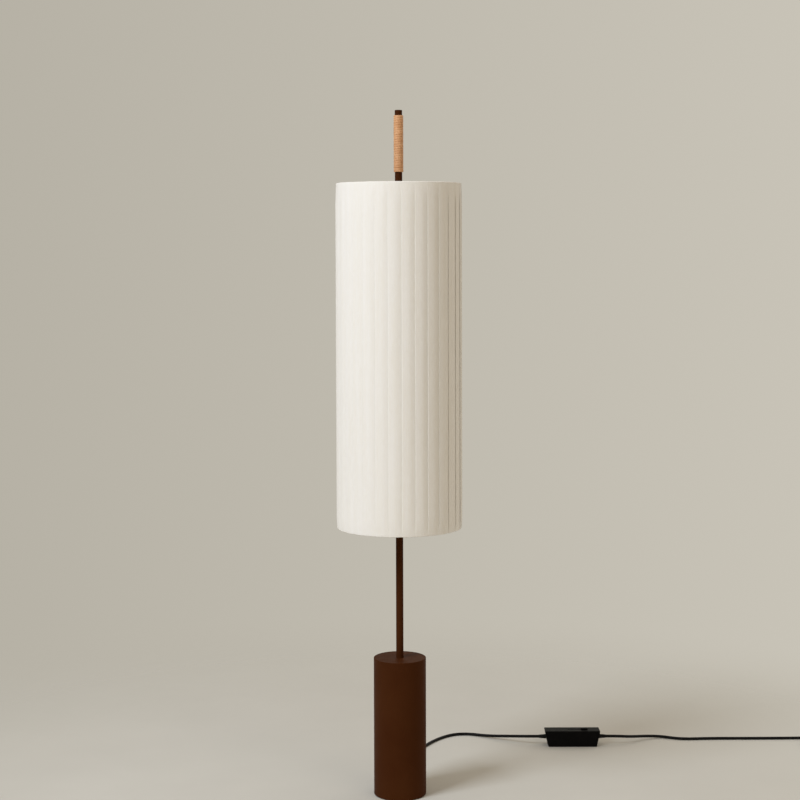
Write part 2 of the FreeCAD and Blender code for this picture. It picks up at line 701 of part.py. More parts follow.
def make_bulb(name, turn, height):
    keep(on_lamp(turned(f"{name}_bulb_cap", [
        ("0", "bulb_foot"), ("contact_radius", "bulb_foot"),
        ("contact_radius", "bulb_foot + contact_height"), ("bulb_screw - 1", "bulb_foot + bulb_chamfer - 1"),
        ("bulb_screw", "bulb_foot + bulb_chamfer"),
        ("bulb_screw", "bulb_neck"), ("0", "bulb_neck"),
    ]), turn, height), f"{name}_bulb_cap")
    outer = glass_profile(0)
    inner = glass_profile(size("glass_wall"))
    foot = Part.LineSegment(outer[0].Vertexes[0].Point, inner[0].Vertexes[0].Point).toShape()
    axis = Part.LineSegment(inner[-1].Vertexes[-1].Point, outer[-1].Vertexes[-1].Point).toShape()
    face = Part.Face(Part.Wire(Part.__sortEdges__(outer + inner + [foot, axis])))
    glass = face.revolve(Vector(), Vector(0, 0, 1), 360)
    keep(on_lamp(feature(f"{name}_bulb_glass", glass), turn, height), f"{name}_bulb_glass")


def make_lead(name, turn, height):
    """Twin lead from the end of the inner cable, out of the stem and up into the holder's nipple."""
    place = lamp_place(turn, height)
    drop = size("lead_drop")
    offset = size("lamp_offset")
    start = size("cable_top") - size(height)
    side = size("lead_side")
    spots = [Vector(side, 0, start), Vector(side, 0, -drop), Vector(offset, 0, -drop),
             Vector(offset, 0, size("lead_end"))]
    edges = []
    at = spots[0]
    bends = (size("lead_inner_bend"), size("lead_outer_bend"))
    for corner, after, bend in zip(spots[1:], spots[2:], bends):
        begin = corner + (at - corner).normalize() * bend
        end = corner + (after - corner).normalize() * bend
        edges.append(Part.LineSegment(at, begin).toShape())
        edges.append(arc_between(begin, corner, end))
        at = end
    edges.append(Part.LineSegment(at, spots[3]).toShape())
    solid = swept(f"{name}_lead", Part.Wire(edges), size("lead_radius"))
    keep(feature(f"{name}_lead", solid, place), f"{name}_lead")


def make_lamps():
    nuts = []
    for name, turn, height in (("lower", 180, "lower_lamp"), ("upper", 0, "upper_lamp")):
        make_bracket(f"{name}_bracket", turn, height)
        make_holder(name, turn, height)
        make_bulb(name, turn, height)
        make_lead(name, turn, height)
        nut = ring("nipple_nut", "nipple_radius + 0.03", "nut_radius", "-nipple_length",
                   "-bracket_plate - 0.05")
        nuts.append(on_lamp(nut, turn, height))
    keep(group(*nuts), "nipple_nuts")


# ---------------------------------------------------------------- dimmer

DIMMER_SCREWS = (("-case_screw_x", "-case_screw_y"), ("case_screw_x", "case_screw_y"))


def half_length(height):
    """Half the dimmer's length at a height: its ends lean outwards."""
    return f"(dimmer_half + (dimmer_half_top - dimmer_half) * ({height}) / dimmer_height)"


def make_dimmer_half(label, foot, head, pocket_foot, pocket_head, rounding):
    """One half of the dimmer's case, with its pocket open at the joint between the halves."""
    body = doc.addObject("PartDesign::Body", f"{label}_blank")
    sketch = new_sketch(body, "XZ_Plane")
    draw_polygon(sketch, [(f"-{half_length(foot)}", foot), (half_length(foot), foot),
                          (half_length(head), head), (f"-{half_length(head)}", head)])
    pad = padded(body, sketch, "dimmer_depth", both_ways=True)
    split = size("dimmer_split")

    def away_from_joint(edge):
        return max(abs(edge.BoundBox.ZMin - split), abs(edge.BoundBox.ZMax - split)) > 1

    rounded(body, pad, rounding, away_from_joint)
    pocket = block("2 * pocket_half", "pocket_depth", f"{pocket_head} - ({pocket_foot})",
                   "-pocket_half", "-pocket_depth / 2", pocket_foot)
    tunnel = cylinder("tunnel_radius", "3 * dimmer_half_top", "-1.5 * dimmer_half_top", "0",
                      "dimmer_split", ALONG_X)
    holes = []
    for x, y in DIMMER_SCREWS:
        holes.append(cylinder("case_screw + 0.05", "dimmer_height - 5", x, y, "0"))
        holes.append(cylinder("case_recess", "case_recess_top", x, y, "0"))
    return body, [pocket, tunnel] + holes


def on_floor(item, x="dimmer_x", y="dimmer_y", z="0"):
    item.Placement = Placement(Vector(size(x), size(y), size(z)), Rotation())
    return item


def make_dimmer_case():
    base, tools = make_dimmer_half("dimmer_base", "0", "dimmer_split", "dimmer_floor", "dimmer_split",
                                   "dimmer_low_edge")
    keep(on_floor(cut(base, *tools)), "dimmer_base")
    cover, tools = make_dimmer_half("dimmer_cover", "dimmer_split", "dimmer_height", "dimmer_split",
                                    "dimmer_height - dimmer_lid", "dimmer_top_edge")
    slot = block("slider_travel + 2 * slot_room", "slot_width", "10",
                 "slider_rest - slider_travel - slot_room", "-slot_width / 2", "dimmer_height - 5")
    keep(on_floor(cut(cover, slot, *tools)), "dimmer_cover")
    screws = []
    for x, y in DIMMER_SCREWS:
        head = cylinder("case_head", "case_recess_top - 0.8", x, y, "0.8")
        shank = cylinder("case_screw", "dimmer_height - case_recess_top - 6", x, y, "case_recess_top")
        screws.append(fused(head, shank))
    keep(on_floor(group(*screws)), "dimmer_screws")


def make_dimmer_slider():
    """The knob on the cover and the blade that goes through the slot into the fader."""
    knob_foot = "dimmer_height + slide_gap"
    body = doc.addObject("PartDesign::Body", "dimmer_slider_knob")
    sketch = new_sketch(body, "XY_Plane", knob_foot)
    left = "slider_rest - knob_length / 2"
    right = "slider_rest + knob_length / 2"
    draw_polygon(sketch, [(left, "-knob_depth / 2"), (right, "-knob_depth / 2"),
                          (right, "knob_depth / 2"), (left, "knob_depth / 2")])
    pad = padded(body, sketch, "knob_height")
    rounded(body, pad, "knob_edge", lambda edge: edge.BoundBox.ZMax > size(knob_foot) + 0.1)
    blade = block("blade_length", "blade_width", "blade_drop + 0.1", "slider_rest - blade_length / 2",
                  "-blade_width / 2", f"{knob_foot} - blade_drop")
    keep(on_floor(fused(body, blade)), "dimmer_slider")


def make_dimmer_inside():
    """The fader under the slider, on the board, and the rubber boots that hold the two leads."""
    fader_block = block("slider_travel + 18", "fader_width", "fader_height",
                        "slider_rest - slider_travel - 9", "-fader_width / 2", "fader_foot")
    fader_slot = block("slider_travel + 2 * slot_room", "blade_width + 0.8", "fader_height",
                       "slider_rest - slider_travel - slot_room", "-blade_width / 2 - 0.4",
                       "dimmer_height - blade_drop - 3.3")
    keep(on_floor(cut(fader_block, fader_slot)), "dimmer_fader")
    keep(block("board_length", "board_width", "board_thick", "dimmer_x - board_length / 2",
               "dimmer_y - board_width / 2", "board_foot"), "dimmer_board")
    boots = []
    for label, side in (("left", -1), ("right", 1)):
        flange_foot = "pocket_half - 0.2 - boot_flange_thick"
        boot = turned(f"boot_{label}", [
            ("0", flange_foot), ("boot_flange", flange_foot), ("boot_flange", "pocket_half - 0.2"),
            ("boot_radius", "pocket_half - 0.2"), ("boot_radius", "dimmer_half_top - 2"),
            ("boot_tip", "boot_end"), ("0", "boot_end"),
        ])
        boot.Placement = Placement(Vector(0, 0, size("dimmer_split")),
                                   Rotation(Vector(0, 1, 0), 90 * side))
        boots.append(boot)
    keep(on_floor(group(*boots)), "dimmer_boots")


# ---------------------------------------------------------------- mains lead

def make_coil():
    """The coiled length: it spirals in on the floor, climbs one layer and spirals out on top."""
    centre = Vector(size("coil_x"), size("coil_y"), size("coil_z"))
    inner = size("coil_inner")
    pitch = size("coil_pitch")
    layer = size("coil_layer")
    turnback = size("coil_turnback")
    turns = size("coil_turns")
    radius = size("cord_radius")

    def spot(turn):
        past = turn - turnback
        angle = math.pi / 2 - 2 * math.pi * turn
        reach = inner + pitch * abs(past)
        climb = min(max(past / 0.5 + 0.5, 0), 1)
        rise = layer * climb * climb * (3 - 2 * climb)
        return centre + Vector(reach * math.cos(angle), reach * math.sin(angle), rise)

    path = winding_path(spot, turns, 2 * radius)
    print(f"cord_coil: {turns:.2f} loops, least gap {least_gap(path, radius):.2f} mm")
    keep(feature("cord_coil", swept("cord_coil", path, radius)), "cord_coil")


def make_coil_tie():
    """A flat strap round the coil's section on the side away from the lamp."""
    clearance = size("tie_gap")
    thick = size("tie_thick")
    width = size("tie_width")
    low = size("coil_inner - cord_radius") - clearance
    high = size("coil_inner + coil_pitch * coil_turnback + cord_radius") + clearance
    top = size("coil_z + coil_layer + cord_radius + tie_rise")
    outer = Part.makeBox(high - low + 2 * thick, width, top + thick, Vector(low - thick, -width / 2, 0))
    hollow = Part.makeBox(high - low, width + 2, top - thick, Vector(low, -width / 2 - 1, thick))
    long_edges = [edge for edge in outer.Edges if edge.BoundBox.YLength > width - 1e-6]
    strap = outer.makeFillet(size("tie_edge"), long_edges).cut(hollow)
    turn = Rotation(Vector(0, 0, 1), size("tie_angle"))
    place = Placement(Vector(size("coil_x"), size("coil_y"), 0), turn)
    keep(feature("coil_tie", strap, place), "coil_tie")


def make_plug():
    """A flat two-pin plug lying on the floor, pins towards -Y."""
    body = doc.addObject("PartDesign::Body", "plug_shell")
    sketch = new_sketch(body, "XY_Plane")
    half = "plug_width / 2"
    front = "-plug_body"
    draw_polygon(sketch, [("-plug_rear_half", "0"), (f"-({half})", "-plug_slant"), (f"-({half})", front),
                          (half, front), (half, "-plug_slant"), ("plug_rear_half", "0")])
    pad = padded(body, sketch, "plug_thick", both_ways=True)
    slant = size("plug_slant") + 0.1
    rounded(body, pad, "plug_edge", lambda edge: edge.BoundBox.ZLength > 1 or edge.BoundBox.YMin > -slant)
    neck = doc.addObject("Part::Cone", "plug_neck")
    neck.Placement = Placement(Vector(0, -1, 0), ALONG_Y)
    bind(neck, Radius1="neck_radius", Radius2="neck_tip", Height="plug_neck + 1")
    shell = fused(body, neck)
    item = on_floor(shell, "plug_x", "plug_rear - plug_neck", "plug_z")
    face = "plug_rear - plug_neck - plug_body"
    pin_holes = []
    pins = []
    for sign in (-1, 1):
        x = f"plug_x + {sign} * pin_spacing / 2"
        pin_holes.append(cylinder("pin_waist + 0.02", "pin_root + 1.5", x, f"{face} - 1", "plug_z", ALONG_Y))
        free_length = cylinder("pin_radius", "pin_length", x, f"{face} - pin_length", "plug_z", ALONG_Y)
        waist = cylinder("pin_waist", "pin_root + 1", x, f"{face} - 1", "plug_z", ALONG_Y)
        pins.append(fused(free_length, waist))
    keep(cut(item, *pin_holes), "plug_body")
    keep(group(*pins), "plug_pins")


def make_mains_lead():
    radius = size("cord_radius")
    cord("inner_cable", ROUTE_IN_BASE, radius)
    cord("cord_to_dimmer", ROUTE_TO_DIMMER, radius)
    cord("cord_to_coil", ROUTE_TO_COIL, radius)
    make_coil()
    cord("cord_tail", ROUTE_TO_PLUG, radius)


# ---------------------------------------------------------------- build and write

def faults():
    """Objects that failed to build, and nodes whose shape is missing or not valid."""
    found = []
    for item in doc.Objects:
        if "Invalid" in item.State or "Error" in item.State:
            found.append(f"{item.Label}: {item.State}")
    for item in nodes:
        if item.Shape.isNull() or not item.Shape.isValid() or not item.Shape.Solids:
            found.append(f"{item.Label}: its shape is not a valid solid")
    return found


make_floor_pad()
make_base_plate()
make_base_plate_screws()
make_base_weight()
make_base_shell()
make_base_fixings()
make_base_relief()
make_cord_clamp()
make_stem()
make_grip()
make_shade_cover()
make_shade_frame()
make_spider("top_spider", "top_hub_foot")
make_spider("bottom_spider", "low_hub_foot")
make_shade_seat()
make_set_screws()
make_lamps()
make_dimmer_case()
make_dimmer_slider()
make_dimmer_inside()
make_mains_lead()
make_coil_tie()
make_plug()
doc.recompute()

problems = faults()
if problems:
    raise RuntimeError("\n".join(problems))

os.makedirs("parts", exist_ok=True)
for item in nodes:
    item.Shape.exportStep(f"parts/{item.Label}.step")
print(f"{len(nodes)} nodes written")
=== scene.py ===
import json
import math
import random

import bpy
from mathutils import Matrix, Vector, noise


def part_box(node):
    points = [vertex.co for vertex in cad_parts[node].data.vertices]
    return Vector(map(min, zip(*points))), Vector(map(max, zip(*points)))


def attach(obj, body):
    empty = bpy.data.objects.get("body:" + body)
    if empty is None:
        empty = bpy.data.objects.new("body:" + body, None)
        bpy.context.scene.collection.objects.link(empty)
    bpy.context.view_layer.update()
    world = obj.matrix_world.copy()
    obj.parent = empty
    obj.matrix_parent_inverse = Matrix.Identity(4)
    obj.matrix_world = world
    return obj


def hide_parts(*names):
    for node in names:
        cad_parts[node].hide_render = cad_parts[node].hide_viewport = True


# Floor lamp: lapped paper shade, wound grip, brown painted stem and base, black lead with a slide
# dimmer. Metres, in the CAD model's frame: +Z up, the lead leaves the base towards +Y.

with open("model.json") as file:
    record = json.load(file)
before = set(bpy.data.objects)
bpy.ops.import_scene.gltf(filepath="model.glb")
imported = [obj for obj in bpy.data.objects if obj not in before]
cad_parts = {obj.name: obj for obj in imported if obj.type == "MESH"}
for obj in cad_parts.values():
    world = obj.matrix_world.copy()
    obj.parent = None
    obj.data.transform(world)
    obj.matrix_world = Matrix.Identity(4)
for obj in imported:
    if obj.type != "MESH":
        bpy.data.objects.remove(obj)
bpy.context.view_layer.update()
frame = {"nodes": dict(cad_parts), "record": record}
nodes = frame["nodes"]
slot_of = {part["node"]: part["material_slot"] for part in frame["record"]["subparts"]}

MM = 0.001
TAU = 2 * math.pi


def mm(*values):
    """A point given in millimetres, in metres."""
    return Vector(value * MM for value in values)


# ---------------------------------------------------------------- camera

# The lens is known in pixels of a square picture.
PICTURE = 800
FOCAL_PIXELS = 1727
SENSOR_WIDTH = 36
CAMERA_AT = mm(2.0, -3277.9, 1057.6)
PITCH = math.radians(2.564)
ROLL = math.radians(-0.153)
SHIFT_Y = -0.10


def make_camera():
    data = bpy.data.cameras.new("camera")
    data.sensor_width = SENSOR_WIDTH
    data.lens = FOCAL_PIXELS / PICTURE * SENSOR_WIDTH
    data.shift_y = SHIFT_Y
    camera = bpy.data.objects.new("camera", data)
    bpy.context.scene.collection.objects.link(camera)
    ahead = Vector((0, math.cos(PITCH), -math.sin(PITCH)))
    right = Vector((1, 0, 0))
    down = ahead.cross(right)
    rolled_right = math.cos(ROLL) * right - math.sin(ROLL) * down
    rolled_up = -(math.sin(ROLL) * right + math.cos(ROLL) * down)
    axes = Matrix((rolled_right, rolled_up, -ahead)).transposed()
    camera.matrix_world = Matrix.Translation(CAMERA_AT) @ axes.to_4x4()
    bpy.context.scene.camera = camera


make_camera()


# ---------------------------------------------------------------- colours and materials

def srgb(red, green, blue):
    """A colour given as it shows on screen, 0 to 255, as the linear colour that shaders take."""
    def linear(value):
        value /= 255
        return value / 12.92 if value <= 0.04045 else ((value + 0.055) / 1.055) ** 2.4
    return (linear(red), linear(green), linear(blue), 1)


class Finish:
    """A material with one Principled shader and helpers that add procedural detail to it."""

    def __init__(self, name, color, roughness, **sockets):
        self.material = bpy.data.materials.new(name)
        self.material.use_nodes = True
        self.tree = self.material.node_tree
        self.shader = self.tree.nodes["Principled BSDF"]
        self.shader.inputs["Base Color"].default_value = color
        self.shader.inputs["Roughness"].default_value = roughness
        for socket, value in sockets.items():
            self.shader.inputs[socket.replace("_", " ")].default_value = value
        self.place = self.add("ShaderNodeTexCoord").outputs["Object"]  # metres

    def add(self, kind, **properties):
        node = self.tree.nodes.new(kind)
        for name, value in properties.items():
            setattr(node, name, value)
        return node

    def link(self, output, socket):
        self.tree.links.new(output, socket)

    def stretched(self, stretch):
        """Object coordinates, in metres, multiplied along each axis."""
        mapping = self.add("ShaderNodeMapping")
        mapping.inputs["Scale"].default_value = stretch
        self.link(self.place, mapping.inputs["Vector"])
        return mapping.outputs["Vector"]

    def noise(self, size, detail=3.0, stretch=(1, 1, 1), rough=0.55):
        """Noise whose grain is about size metres, longer where stretch is small."""
        texture = self.add("ShaderNodeTexNoise")
        texture.inputs["Scale"].default_value = 1 / size
        texture.inputs["Detail"].default_value = detail
        texture.inputs["Roughness"].default_value = rough
        self.link(self.stretched(stretch), texture.inputs["Vector"])
        return texture.outputs["Fac"]

    def cells(self, size):
        """Cells about size metres across, dark in their middles."""
        texture = self.add("ShaderNodeTexVoronoi")
        texture.inputs["Scale"].default_value = 1 / size
        self.link(self.place, texture.inputs["Vector"])
        return texture.outputs["Distance"]

    def spread(self, value, low, high, start=0.3, end=0.7):
        """Map a noise value between start and end to a number between low and high."""
        node = self.add("ShaderNodeMapRange")
        node.inputs["From Min"].default_value = start
        node.inputs["From Max"].default_value = end
        node.inputs["To Min"].default_value = low
        node.inputs["To Max"].default_value = high
        self.link(value, node.inputs["Value"])
        return node.outputs["Result"]

    def mixed(self, value, first, second, start=0.3, end=0.7):
        """A colour between first and second; either may be a colour or another node's output."""
        node = self.add("ShaderNodeMix", data_type="RGBA")
        self.link(self.spread(value, 0, 1, start, end), node.inputs["Factor"])
        for socket, color in ((node.inputs["A"], first), (node.inputs["B"], second)):
            if isinstance(color, tuple):
                socket.default_value = color
            else:
                self.link(color, socket)
        return node.outputs["Result"]

    def set_color(self, output):
        self.link(output, self.shader.inputs["Base Color"])
        return self

    def set_roughness(self, value, low, high):
        self.link(self.spread(value, low, high), self.shader.inputs["Roughness"])
        return self

    def bump(self, *layers):
        """Stack bumps, each a (height output, depth in metres) pair."""
        normal = None
        for height, depth in layers:
            node = self.add("ShaderNodeBump")
            node.inputs["Distance"].default_value = depth
            self.link(height, node.inputs["Height"])
            if normal is not None:
                self.link(normal, node.inputs["Normal"])
            normal = node.outputs["Normal"]
        self.link(normal, self.shader.inputs["Normal"])
        return self


PATCH_SIZE = 0.03
SMOOTHER = 0.05
ROUGHER = 0.07


def mixed_finish(name, dark, light, grain, roughness, bump_depth, **sockets):
    """A finish with soft patches of two close colours and one fine grain."""
    finish = Finish(name, light, roughness, **sockets)
    patches = finish.noise(PATCH_SIZE, detail=4)
    fine = finish.noise(grain, detail=2)
    finish.set_color(finish.mixed(patches, dark, light))
    finish.set_roughness(fine, roughness - SMOOTHER, roughness + ROUGHER)
    finish.bump((fine, bump_depth))
    return finish.material


def make_brown_paint():
    """Matt brown paint: a fine orange peel with a little dust in it."""
    finish = Finish("brown_paint", srgb(68, 36, 16), 0.5, Specular_IOR_Level=0.03,
                    Specular_Tint=(1.0, 0.7, 0.5, 1))
    patches = finish.noise(0.09, detail=3)
    peel = finish.noise(0.0011, detail=2)
    dust = finish.noise(0.0004, detail=1)
    finish.set_color(finish.mixed(patches, srgb(65, 33, 14), srgb(72, 39, 18)))
    finish.set_roughness(finish.noise(0.02, detail=5), 0.44, 0.54)
    finish.bump((peel, 0.00010), (dust, 0.00003))
    return finish.material


def make_paper():
    """Ivory paper: long upright fibres, faint cloudiness and a matt, slightly soft surface."""
    finish = Finish("shade_paper", srgb(249, 246, 238), 0.72, Specular_IOR_Level=0.28)
    cloud = finish.noise(0.011, detail=4, stretch=(1, 1, 0.04))
    fibre = finish.noise(0.0009, detail=4, stretch=(1, 1, 0.05))
    speck = finish.noise(0.0005, detail=2)
    tone = finish.mixed(cloud, srgb(247, 243, 233), srgb(250, 247, 240))
    finish.set_color(finish.mixed(fibre, tone, srgb(252, 250, 245), start=0.45, end=0.8))
    finish.set_roughness(speck, 0.68, 0.80)
    finish.bump((fibre, 0.00006), (speck, 0.00004))
    return finish.material


def make_lining():
    """The smooth backing that the paper strips are laid on."""
    finish = Finish("shade_lining", srgb(247, 244, 236), 0.5)
    haze = finish.noise(0.05, detail=3)
    finish.set_color(finish.mixed(haze, srgb(243, 239, 229), srgb(249, 246, 239)))
    finish.bump((finish.noise(0.0015, detail=2), 0.00004))
    return finish.material


def make_leather():
    """Tan strip: pale and darker lengths, fine grain along the winding and a soft sheen."""
    finish = Finish("grip_leather", srgb(226, 172, 124), 0.5)
    lengths = finish.noise(0.0042, detail=2, stretch=(0.25, 0.25, 1))
    grain = finish.noise(0.0006, detail=4, stretch=(0.6, 0.6, 3))
    pores = finish.cells(0.00045)
    tone = finish.mixed(lengths, srgb(214, 156, 106), srgb(234, 182, 134))
    finish.set_color(finish.mixed(grain, srgb(190, 132, 88), tone, start=0.25, end=0.5))
    finish.set_roughness(grain, 0.42, 0.58)
    finish.bump((grain, 0.00008), (pores, 0.00004))
    return finish.material


def make_black_plastic():
    """Black moulded plastic with a spark-eroded grain."""
    finish = Finish("black_plastic", srgb(11, 10, 10), 0.45, Specular_IOR_Level=0.05)
    spark = finish.cells(0.0006)
    finish.set_color(finish.mixed(finish.noise(0.01), srgb(8, 8, 8), srgb(14, 13, 13)))
    finish.set_roughness(finish.noise(0.004), 0.38, 0.5)
    finish.bump((spark, 0.00006))
    return finish.material


def make_jacket():
    """The lead's black jacket, lightly scuffed."""
    finish = Finish("cord_jacket", srgb(15, 13, 13), 0.42, Specular_IOR_Level=0.12)
    scuff = finish.noise(0.012, detail=5)
    finish.set_color(finish.mixed(scuff, srgb(8, 8, 8), srgb(17, 15, 15)))
    finish.set_roughness(scuff, 0.36, 0.52)
    finish.bump((finish.noise(0.0009, detail=2), 0.00004))
    return finish.material


def make_steel():
    """Zinc-plated steel, brushed upwards."""
    finish = Finish("zinc_steel", srgb(186, 187, 190), 0.34, Metallic=1.0)
    brushed = finish.noise(0.0005, detail=3, stretch=(1, 1, 0.06))
    finish.set_color(finish.mixed(finish.noise(0.02), srgb(172, 174, 178), srgb(196, 197, 199)))
    finish.set_roughness(brushed, 0.26, 0.42)
    finish.bump((brushed, 0.00002))
    return finish.material


def make_opal_glass():
    """Frosted white bulb: milky and smooth."""
    finish = Finish("bulb_glass", srgb(244, 243, 238), 0.26, Coat_Weight=0.25,
                    Subsurface_Weight=0.25, Subsurface_Radius=(0.004, 0.004, 0.004))
    haze = finish.noise(0.02, detail=2)
    finish.set_color(finish.mixed(haze, srgb(239, 238, 232), srgb(247, 246, 242)))
    finish.set_roughness(haze, 0.22, 0.32)
    return finish.material


def make_board():
    """Green circuit board with raised tracks."""
    finish = Finish("circuit_board", srgb(40, 84, 48), 0.4)
    tracks = finish.noise(0.002, detail=1)
    finish.set_color(finish.mixed(tracks, srgb(34, 72, 42), srgb(58, 104, 62), start=0.48, end=0.52))
    finish.bump((tracks, 0.00004))
    return finish.material


def plain_finishes():
    """Finishes of the plain parts; grain and bump depth are in metres."""
    recipes = {
        "cream_wire": dict(dark=srgb(226, 221, 209), light=srgb(236, 232, 222),
                           grain=0.0008, roughness=0.4, bump_depth=0.00004),
        "cast_iron": dict(dark=srgb(52, 51, 52), light=srgb(74, 72, 71),
                          grain=0.0012, roughness=0.62, bump_depth=0.00025, Metallic=0.6),
        "black_rubber": dict(dark=srgb(15, 14, 14), light=srgb(22, 21, 20),
                             grain=0.0009, roughness=0.62, bump_depth=0.00005, Specular_IOR_Level=0.15),
        "lead_insulation": dict(dark=srgb(214, 212, 204), light=srgb(226, 224, 217),
                                grain=0.0009, roughness=0.42, bump_depth=0.00003),
        "holder_plastic": dict(dark=srgb(228, 226, 218), light=srgb(238, 236, 230),
                               grain=0.0012, roughness=0.3, bump_depth=0.00002, Coat_Weight=0.2),
        "brass": dict(dark=srgb(186, 146, 82), light=srgb(206, 168, 100),
                      grain=0.0008, roughness=0.32, bump_depth=0.00003, Metallic=1.0),
        "nickel": dict(dark=srgb(196, 192, 184), light=srgb(212, 209, 202),
                       grain=0.0008, roughness=0.22, bump_depth=0.00002, Metallic=1.0),
        "ceramic": dict(dark=srgb(226, 223, 215), light=srgb(238, 236, 230),
                        grain=0.0008, roughness=0.6, bump_depth=0.00008),
        "bulb_metal": dict(dark=srgb(190, 190, 191), light=srgb(208, 208, 209),
                           grain=0.0008, roughness=0.34, bump_depth=0.00003, Metallic=1.0),
    }
    return {name: mixed_finish(name, **recipe) for name, recipe in recipes.items()}


MATERIALS = {
    "brown_paint": make_brown_paint(),
    "shade_paper": make_paper(),
    "zinc_steel": make_steel(),
    "cord_jacket": make_jacket(),
    "black_plastic": make_black_plastic(),
    "bulb_glass": make_opal_glass(),
    "grip_leather": make_leather(),
    "circuit_board": make_board(),
    **plain_finishes(),
}
LINING = make_lining()
for name, node in nodes.items():
    node.material_slots[0].material = MATERIALS[slot_of[name]]


# ---------------------------------------------------------------- mesh helpers

def finished(piece, material, body):
    """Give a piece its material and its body."""
    piece.data.materials.append(material)
    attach(piece, body)
    return piece


def mesh_piece(name, points, faces, material, body, slot, sharp=40):
    """A smooth-shaded mesh piece whose edges sharper than the angle sharp, in degrees, stay crisp."""
    mesh = bpy.data.meshes.new(name)
    mesh.from_pydata([tuple(point) for point in points], [], faces)
    mesh.validate()
    mesh.shade_smooth()
    mesh.set_sharp_from_angle(angle=math.radians(sharp))
    piece = bpy.data.objects.new(name, mesh)
    bpy.context.scene.collection.objects.link(piece)
    return finished(piece, material, body)


def lofted(loops, first=0, closed=False):
    """Quads between consecutive closed loops of equal size, with flat ends unless closed."""
    size = len(loops[0])
    rows = len(loops)
    points = [point for loop in loops for point in loop]
    faces = []
    for row in range(rows if closed else rows - 1):
        here = first + row * size
        there = first + (row + 1) % rows * size
        for index in range(size):
            following = (index + 1) % size
            faces.append((here + index, here + following, there + following, there + index))
    if not closed:
        faces.append(tuple(first + index for index in reversed(range(size))))
        faces.append(tuple(first + (rows - 1) * size + index for index in range(size)))
    return points, faces


def polar(radius, angle, height):
    return Vector((radius * math.cos(angle), radius * math.sin(angle), height))


def smoothstep(value, start, end):
    """From 0 at start to 1 at end, level at both."""
    share = min(max((value - start) / (end - start), 0), 1)
    return share * share * (3 - 2 * share)


def joined(*solids):
    """Several lofted solids as the points and faces of one mesh."""
    points = []
    faces = []
    for more_points, more_faces in solids:
        first = len(points)
        points += more_points
        faces += [tuple(first + index for index in face) for face in more_faces]
    return points, faces


def turned(place, profile, around=40):
    """A closed turned solid from (along, radius) pairs in millimetres, along place's own +Z."""
    turns = [TAU * step / around for step in range(around)]
    return lofted([[place @ polar(radius * MM, angle, along * MM) for angle in turns]
                   for along, radius in profile])


# One rib and the groove after it: share of the way, and how deep of the groove's depth.
RIB = ((0.0, 0.4), (0.07, 0.08), (0.14, 0), (0.46, 0), (0.53, 0.08), (0.6, 0.4), (0.66, 1), (0.94, 1))


def ribbed(start, end, thick, thin, ribs, depth):
    """The profile of a flexible tail: rounded ribs between grooves, thinning towards its end."""
    profile = []
    for number in range(ribs):
        for share, sunk in RIB:
            spot = (number + share) / ribs
            profile.append((start + (end - start) * spot, thick + (thin - thick) * spot - depth * sunk))
    return profile


def rounded_loop(x, half, low, high, corner, steps=4):
    """Points round a rectangle with rounded corners that stands across X; y runs from -half to half."""
    loop = []
    top, bottom = high - corner, low + corner
    for quarter, (side, level) in enumerate(((1, top), (-1, top), (-1, bottom), (1, bottom))):
        for step in range(steps + 1):
            angle = TAU / 4 * (quarter + step / steps)
            loop.append(mm(x, side * (half - corner) + corner * math.cos(angle),
                           level + corner * math.sin(angle)))
    return loop


def heading(place, axis, degrees):
    """A frame at place whose +Z is turned about one axis."""
    return Matrix.Translation(place) @ Matrix.Rotation(math.radians(degrees), 4, axis)


# ---------------------------------------------------------------- mains lead

CORD_RADIUS = 3 * MM
EXIT_HEIGHT = 16
DIMMER_CENTRE = mm(362, 316, 18.5)

# Turned rubber parts, as (along, radius) in millimetres: along is the distance from the dimmer's centre
# for the boots, and from the lamp's axis for the strain relief.
RUBBER_SHARP = 35
BOOT_PROFILE = [(39.4, 5.6), (39.6, 5.8), (41.6, 5.8), (41.8, 5.6), (41.85, 4.5), (57.6, 4.5)]
BOOT_PROFILE += ribbed(58.2, 68.8, 4.52, 3.68, 4, 0.5) + [(68.9, 3.6), (69.7, 3.5), (70, 3.3)]
RELIEF_PROFILE = [(44.5, 7.6), (44.9, 8), (46.6, 8), (46.95, 7.7), (47, 5.3), (50.05, 5.3), (50.1, 7.5),
                  (50.5, 8), (51.8, 8), (52.3, 7.4), (52.4, 5.6)]
RELIEF_PROFILE += ribbed(53, 75.6, 5.55, 4.05, 7, 0.75) + [(75.7, 4), (77.6, 3.9), (78, 3.6)]

# The lead's route, as control points.
TO_DIMMER = [
    mm(0, 78, 16), mm(0, 104, 16), mm(2, 146, 5), mm(16, 204, 3), mm(38, 268, 3), mm(68, 336, 3),
    mm(108, 384, 3), mm(146, 391, 3), mm(187, 369.5, 4), mm(229, 342, 11.5), mm(270, 316, 18.5),
    mm(292, 316, 18.5),
]
TO_COIL = [
    mm(432, 316, 18.5), mm(456, 316, 18.5), mm(488, 327, 14), mm(520, 354, 7.5), mm(556, 366, 3.5),
    mm(596, 346, 3), mm(655, 351, 3), mm(725, 350.5, 3), mm(800, 349.6, 3.3), mm(850, 348.48, 4),
]
TO_PLUG = [mm(936.7, 272, 10.6), mm(934, 246, 6.8), mm(934, 224, 6.8)]

# The coil lies in two layers: it winds inwards on the floor, then outwards on top.
COIL_CENTRE = mm(892, 301.9, 4)
COIL_INNER = 24.5 * MM
COIL_PITCH = 6.5 * MM
COIL_LAYER = 6.6 * MM
COIL_TURNS = 6.25
COIL_TURNBACK = 3.25
COIL_POINTS = 16
COIL_CLIMB = 0.25


